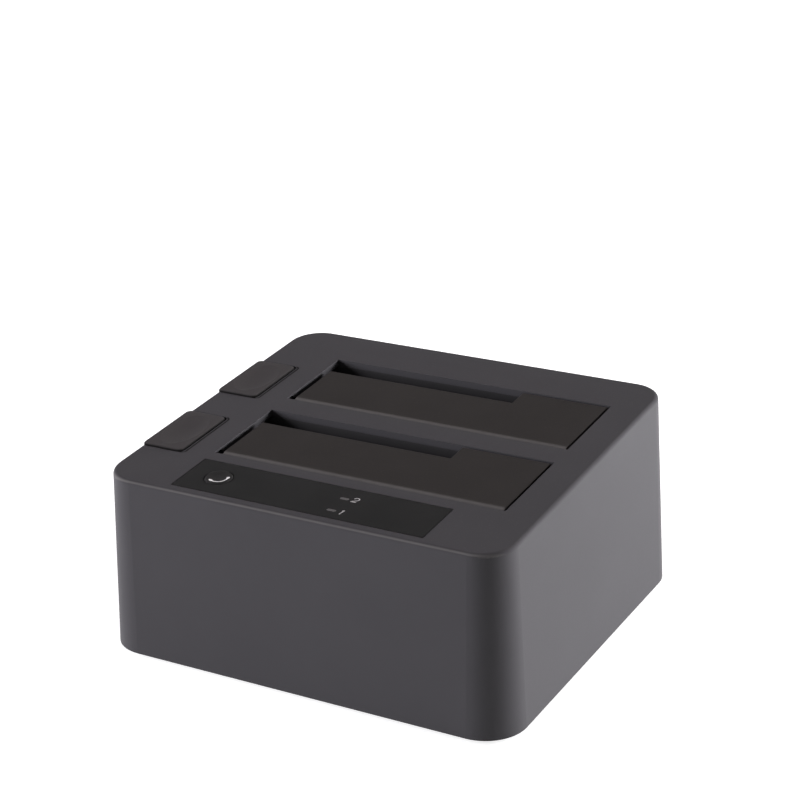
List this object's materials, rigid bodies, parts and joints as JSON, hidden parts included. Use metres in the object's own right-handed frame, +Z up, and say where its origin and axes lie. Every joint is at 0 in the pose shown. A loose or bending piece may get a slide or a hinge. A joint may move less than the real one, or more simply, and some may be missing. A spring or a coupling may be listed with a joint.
{
  "type": "hard drive docking station",
  "caption": "Desktop dock with two upright drive bays under hinged flap doors, side eject buttons that lift the drives, a gloss control strip and rear ports.",
  "frame": {"origin": "middle of the footprint, on the table plane under the feet", "axes": "+X along the width towards the right as seen from the front, +Y from the front to the back, +Z up"},
  "size_m": [0.1498, 0.136, 0.0702],
  "materials": {
    "housing_shell": "matte charcoal moulding with a fine spark-eroded texture",
    "cover_plate": "matte charcoal moulding, slightly darker",
    "foot_rubber": "soft black rubber",
    "screw_steel": "black zinc screws",
    "panel_gloss": "polished black with fine handling marks",
    "power_button_gloss": "polished black cap",
    "light_pipe": "frosted clear window",
    "connector_plastic": "black glass-filled plastic",
    "switch_metal": "bright tinned can",
    "circuit_board": "green solder mask",
    "lamp_lens": "clear lamp lens",
    "ribbon_jacket": "pale flat cable",
    "chip_epoxy": "black epoxy",
    "capacitor_can": "bright aluminium can",
    "coil_ferrite": "grey sintered ferrite",
    "port_steel": "nickel-plated folded shell",
    "port_insert": "blue insert",
    "contact_metal": "gold-flashed contacts",
    "frame_plastic": "matte black moulding",
    "door_plastic": "dark satin moulding",
    "pin_steel": "ground steel rod",
    "spring_steel": "drawn spring wire",
    "button_plastic": "dark moulding, worn smoother in its dish",
    "lever_plastic": "natural acetal"
  },
  "bodies": {
    "dock_body": {"base_screws": "screw_steel", "bay_frame_screws": "screw_steel", "bottom_cover": "cover_plate", "bridge_chip": "chip_epoxy", "capacitors": "capacitor_can", "control_board": "circuit_board", "control_board_screws": "screw_steel", "control_panel": "panel_gloss", "crystal": "switch_metal", "front_bay_frame": "frame_plastic", "front_door_spring": "spring_steel", "front_drive_socket": "connector_plastic", "front_eject_spring": "spring_steel", "front_hinge_pin": "pin_steel", "front_lever_pin": "pin_steel", "front_socket_contacts": "contact_metal", "indicator_lamps": "lamp_lens", "light_pipes": "light_pipe", "main_board": "circuit_board", "main_board_screws": "screw_steel", "power_coil": "coil_ferrite", "power_jack": "connector_plastic", "power_jack_pin": "contact_metal", "push_switch": "switch_metal", "rear_bay_frame": "frame_plastic", "rear_door_spring": "spring_steel", "rear_drive_socket": "connector_plastic", "rear_eject_spring": "spring_steel", "rear_hinge_pin": "pin_steel", "rear_lever_pin": "pin_steel", "rear_socket_contacts": "contact_metal", "ribbon_cable": "ribbon_jacket", "ribbon_sockets": "connector_plastic", "rubber_feet": "foot_rubber", "top_housing": "housing_shell", "usb_port_insert": "port_insert", "usb_port_shell": "port_steel"},
    "power_button": {"power_button": "power_button_gloss", "switch_plunger": "connector_plastic"},
    "front_door": {"front_door": "door_plastic"},
    "front_eject_button": {"front_eject_button": "button_plastic"},
    "front_ejector_lever": {"front_ejector_lever": "lever_plastic"},
    "rear_door": {"rear_door": "door_plastic"},
    "rear_eject_button": {"rear_eject_button": "button_plastic"},
    "rear_ejector_lever": {"rear_ejector_lever": "lever_plastic"}
  },
  "joints": [
    {"name": "front_door_hinge", "type": "hinge", "parent": "dock_body", "child": "front_door", "pos_m": [0, -0.03408, 0.0621], "axis": [-1, 0, 0], "range_deg": [0, 88], "stiffness_Nm_per_rad": 0.004, "springref_deg": -57.3, "deforming": ["front_door_spring"]},
    {"name": "front_eject_press", "type": "slide", "parent": "dock_body", "child": "front_eject_button", "axis": [0, 0, -1], "range_m": [0, 0.004], "stiffness_N_per_m": 250, "springref_m": -0.003, "deforming": ["front_eject_spring"]},
    {"name": "front_lever_rock", "type": "hinge", "parent": "dock_body", "child": "front_ejector_lever", "pos_m": [-0.055, -0.02708, 0.024], "axis": [0, -1, 0], "range_deg": [0, 24.2]},
    {"name": "rear_door_hinge", "type": "hinge", "parent": "dock_body", "child": "rear_door", "pos_m": [0, 0.01152, 0.06457], "axis": [-1, 0, 0], "range_deg": [0, 88], "stiffness_Nm_per_rad": 0.004, "springref_deg": -57.3, "deforming": ["rear_door_spring"]},
    {"name": "rear_eject_press", "type": "slide", "parent": "dock_body", "child": "rear_eject_button", "axis": [0, 0, -1], "range_m": [0, 0.004], "stiffness_N_per_m": 250, "springref_m": -0.003, "deforming": ["rear_eject_spring"]},
    {"name": "rear_lever_rock", "type": "hinge", "parent": "dock_body", "child": "rear_ejector_lever", "pos_m": [-0.055, 0.01852, 0.024], "axis": [0, -1, 0], "range_deg": [0, 24.2]},
    {"name": "power_press", "type": "slide", "parent": "dock_body", "child": "power_button", "axis": [0, 0.0541, -0.9985], "range_m": [0, 0.0005], "stiffness_N_per_m": 1500, "springref_m": -0.0004}
  ],
  "couplings": [
    {"joint": "front_lever_rock", "follows": "front_eject_press", "rad_per_m": 105.5},
    {"joint": "rear_lever_rock", "follows": "rear_eject_press", "rad_per_m": 105.5}
  ]
}
